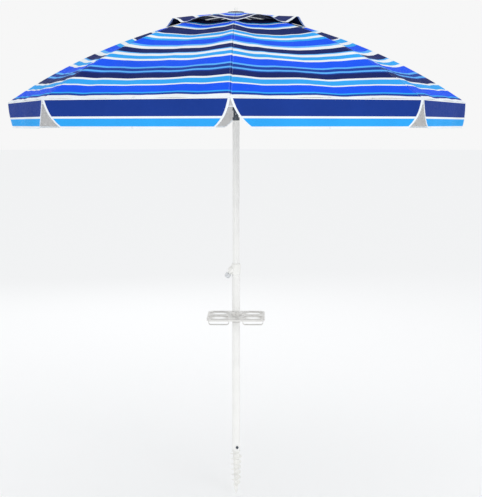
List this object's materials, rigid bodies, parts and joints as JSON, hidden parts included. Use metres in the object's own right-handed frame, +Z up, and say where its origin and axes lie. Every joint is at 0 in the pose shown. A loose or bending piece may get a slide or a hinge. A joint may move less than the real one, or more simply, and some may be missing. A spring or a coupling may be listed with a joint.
{
  "type": "beach umbrella",
  "caption": "Vented octagonal beach umbrella with scalloped valance, on a telescopic tilting pole with a cup tray and a sand auger; the canopy folds along the pole.",
  "frame": {"origin": "tip of the sand auger, on the axis of the pole", "axes": "+Z up along the upright pole; -Y towards the front, where rib 1 points; +X to the right, with the height lock's knob at -X"},
  "size_m": [1.83, 1.83, 1.9612],
  "materials": {
    "pole_white": "smooth semi-gloss white powder coat",
    "plastic_white": "moulded, semi-gloss white",
    "plastic_grey": "moulded, light grey",
    "steel": "zinc-plated",
    "metal_dark": "dark grey metal",
    "striped_cloth": "woven polyester, navy, royal, sky blue and white stripes, silver-grey coating below"
  },
  "bodies": {
    "lower_pole": {"sand_anchor": "plastic_white", "anchor_bolt": "metal_dark", "lower_tube": "pole_white", "lock_collar": "plastic_white"},
    "lock_knob": {"lock_knob": "plastic_grey"},
    "tray": {"tray_half_left": "plastic_white", "tray_half_right": "plastic_white", "tray_screw": "steel"},
    "mid_pole": {"mid_tube": "pole_white", "tilt_lower_knuckle": "metal_dark", "tilt_pin": "steel"},
    "upper_pole": {"upper_tube": "pole_white", "tilt_upper_knuckle": "metal_dark", "crown_hub": "plastic_white", "crown_ring": "steel", "finial": "plastic_white", "vent_cap": "striped_cloth"},
    "runner_catch": {"runner_catch": "steel"},
    "runner": {"runner": "plastic_white", "runner_ring": "steel"},
    "rib_1": {"rib_1": "steel", "rib_clip_1": "plastic_white", "canopy_gore_1": "striped_cloth", "valance_1": "striped_cloth"},
    "stretcher_1": {"stretcher_1": "steel"},
    "rib_2": {"rib_2": "steel", "rib_clip_2": "plastic_white", "canopy_gore_2": "striped_cloth", "valance_2": "striped_cloth"},
    "stretcher_2": {"stretcher_2": "steel"},
    "rib_3": {"rib_3": "steel", "rib_clip_3": "plastic_white", "canopy_gore_3": "striped_cloth", "valance_3": "striped_cloth"},
    "stretcher_3": {"stretcher_3": "steel"},
    "rib_4": {"rib_4": "steel", "rib_clip_4": "plastic_white", "canopy_gore_4": "striped_cloth", "valance_4": "striped_cloth"},
    "stretcher_4": {"stretcher_4": "steel"},
    "rib_5": {"rib_5": "steel", "rib_clip_5": "plastic_white", "canopy_gore_5": "striped_cloth", "valance_5": "striped_cloth"},
    "stretcher_5": {"stretcher_5": "steel"},
    "rib_6": {"rib_6": "steel", "rib_clip_6": "plastic_white", "canopy_gore_6": "striped_cloth", "valance_6": "striped_cloth"},
    "stretcher_6": {"stretcher_6": "steel"},
    "rib_7": {"rib_7": "steel", "rib_clip_7": "plastic_white", "canopy_gore_7": "striped_cloth", "valance_7": "striped_cloth"},
    "stretcher_7": {"stretcher_7": "steel"},
    "rib_8": {"rib_8": "steel", "rib_clip_8": "plastic_white", "canopy_gore_8": "striped_cloth", "valance_8": "striped_cloth"},
    "stretcher_8": {"stretcher_8": "steel"}
  },
  "joints": [
    {"name": "height_slide", "type": "slide", "parent": "lower_pole", "child": "mid_pole", "axis": [0, 0, 1], "range_m": [-0.35, 0]},
    {"name": "lock_knob_turn", "type": "hinge", "parent": "lower_pole", "child": "lock_knob", "pos_m": [-0.018, 0, 0.911], "axis": [-0.5736, 0, -0.8192], "range_deg": [0, 720]},
    {"name": "tray_slide", "type": "slide", "parent": "lower_pole", "child": "tray", "axis": [0, 0, 1], "range_m": [-0.25, 0.1]},
    {"name": "tilt_hinge", "type": "hinge", "parent": "mid_pole", "child": "upper_pole", "pos_m": [0, 0, 1.537], "axis": [0, 1, 0], "range_deg": [-45, 0]},
    {"name": "runner_catch_press", "type": "slide", "parent": "upper_pole", "child": "runner_catch", "axis": [0, 1, 0], "range_m": [0, 0.002], "stiffness_N_per_m": 400},
    {"name": "canopy_fold", "type": "hinge", "parent": "upper_pole", "child": "rib_1", "pos_m": [0, -0.02399, 1.92786], "axis": [1, 0, 0], "range_deg": [0, 60], "deforming": ["vent_cap", "canopy_gore_1", "valance_1", "canopy_gore_2", "valance_2", "canopy_gore_3", "valance_3", "canopy_gore_4", "valance_4", "canopy_gore_5", "valance_5", "canopy_gore_6", "valance_6", "canopy_gore_7", "valance_7", "canopy_gore_8", "valance_8"]},
    {"name": "stretcher_1_hinge", "type": "hinge", "parent": "rib_1", "child": "stretcher_1", "pos_m": [0, -0.44686, 1.80947], "axis": [1, 0, 0], "range_deg": [-120, 0]},
    {"name": "rib_2_hinge", "type": "hinge", "parent": "upper_pole", "child": "rib_2", "pos_m": [0.01697, -0.01697, 1.92786], "axis": [0.7071, 0.7071, 0], "range_deg": [0, 60]},
    {"name": "stretcher_2_hinge", "type": "hinge", "parent": "rib_2", "child": "stretcher_2", "pos_m": [0.31597, -0.31597, 1.80947], "axis": [0.7071, 0.7071, 0], "range_deg": [-120, 0]},
    {"name": "rib_3_hinge", "type": "hinge", "parent": "upper_pole", "child": "rib_3", "pos_m": [0.02399, 0, 1.92786], "axis": [0, 1, 0], "range_deg": [0, 60]},
    {"name": "stretcher_3_hinge", "type": "hinge", "parent": "rib_3", "child": "stretcher_3", "pos_m": [0.44686, 0, 1.80947], "axis": [0, 1, 0], "range_deg": [-120, 0]},
    {"name": "rib_4_hinge", "type": "hinge", "parent": "upper_pole", "child": "rib_4", "pos_m": [0.01697, 0.01697, 1.92786], "axis": [-0.7071, 0.7071, 0], "range_deg": [0, 60]},
    {"name": "stretcher_4_hinge", "type": "hinge", "parent": "rib_4", "child": "stretcher_4", "pos_m": [0.31597, 0.31597, 1.80947], "axis": [-0.7071, 0.7071, 0], "range_deg": [-120, 0]},
    {"name": "rib_5_hinge", "type": "hinge", "parent": "upper_pole", "child": "rib_5", "pos_m": [0, 0.02399, 1.92786], "axis": [-1, 0, 0], "range_deg": [0, 60]},
    {"name": "stretcher_5_hinge", "type": "hinge", "parent": "rib_5", "child": "stretcher_5", "pos_m": [0, 0.44686, 1.80947], "axis": [-1, 0, 0], "range_deg": [-120, 0]},
    {"name": "rib_6_hinge", "type": "hinge", "parent": "upper_pole", "child": "rib_6", "pos_m": [-0.01697, 0.01697, 1.92786], "axis": [-0.7071, -0.7071, 0], "range_deg": [0, 60]},
    {"name": "stretcher_6_hinge", "type": "hinge", "parent": "rib_6", "child": "stretcher_6", "pos_m": [-0.31597, 0.31597, 1.80947], "axis": [-0.7071, -0.7071, 0], "range_deg": [-120, 0]},
    {"name": "rib_7_hinge", "type": "hinge", "parent": "upper_pole", "child": "rib_7", "pos_m": [-0.02399, 0, 1.92786], "axis": [0, -1, 0], "range_deg": [0, 60]},
    {"name": "stretcher_7_hinge", "type": "hinge", "parent": "rib_7", "child": "stretcher_7", "pos_m": [-0.44686, 0, 1.80947], "axis": [0, -1, 0], "range_deg": [-120, 0]},
    {"name": "rib_8_hinge", "type": "hinge", "parent": "upper_pole", "child": "rib_8", "pos_m": [-0.01697, -0.01697, 1.92786], "axis": [0.7071, -0.7071, 0], "range_deg": [0, 60]},
    {"name": "stretcher_8_hinge", "type": "hinge", "parent": "rib_8", "child": "stretcher_8", "pos_m": [-0.31597, -0.31597, 1.80947], "axis": [0.7071, -0.7071, 0], "range_deg": [-120, 0]},
    {"name": "runner_hinge", "type": "hinge", "parent": "stretcher_1", "child": "runner", "pos_m": [0, -0.024, 1.69108], "axis": [1, 0, 0], "range_deg": [0, 60]}
  ],
  "couplings": [
    {"joint": "stretcher_1_hinge", "follows": "canopy_fold", "ratio": -2},
    {"joint": "rib_2_hinge", "follows": "canopy_fold", "ratio": 1},
    {"joint": "stretcher_2_hinge", "follows": "canopy_fold", "ratio": -2},
    {"joint": "rib_3_hinge", "follows": "canopy_fold", "ratio": 1},
    {"joint": "stretcher_3_hinge", "follows": "canopy_fold", "ratio": -2},
    {"joint": "rib_4_hinge", "follows": "canopy_fold", "ratio": 1},
    {"joint": "stretcher_4_hinge", "follows": "canopy_fold", "ratio": -2},
    {"joint": "rib_5_hinge", "follows": "canopy_fold", "ratio": 1},
    {"joint": "stretcher_5_hinge", "follows": "canopy_fold", "ratio": -2},
    {"joint": "rib_6_hinge", "follows": "canopy_fold", "ratio": 1},
    {"joint": "stretcher_6_hinge", "follows": "canopy_fold", "ratio": -2},
    {"joint": "rib_7_hinge", "follows": "canopy_fold", "ratio": 1},
    {"joint": "stretcher_7_hinge", "follows": "canopy_fold", "ratio": -2},
    {"joint": "rib_8_hinge", "follows": "canopy_fold", "ratio": 1},
    {"joint": "stretcher_8_hinge", "follows": "canopy_fold", "ratio": -2},
    {"joint": "runner_hinge", "follows": "canopy_fold", "ratio": 1}
  ]
}
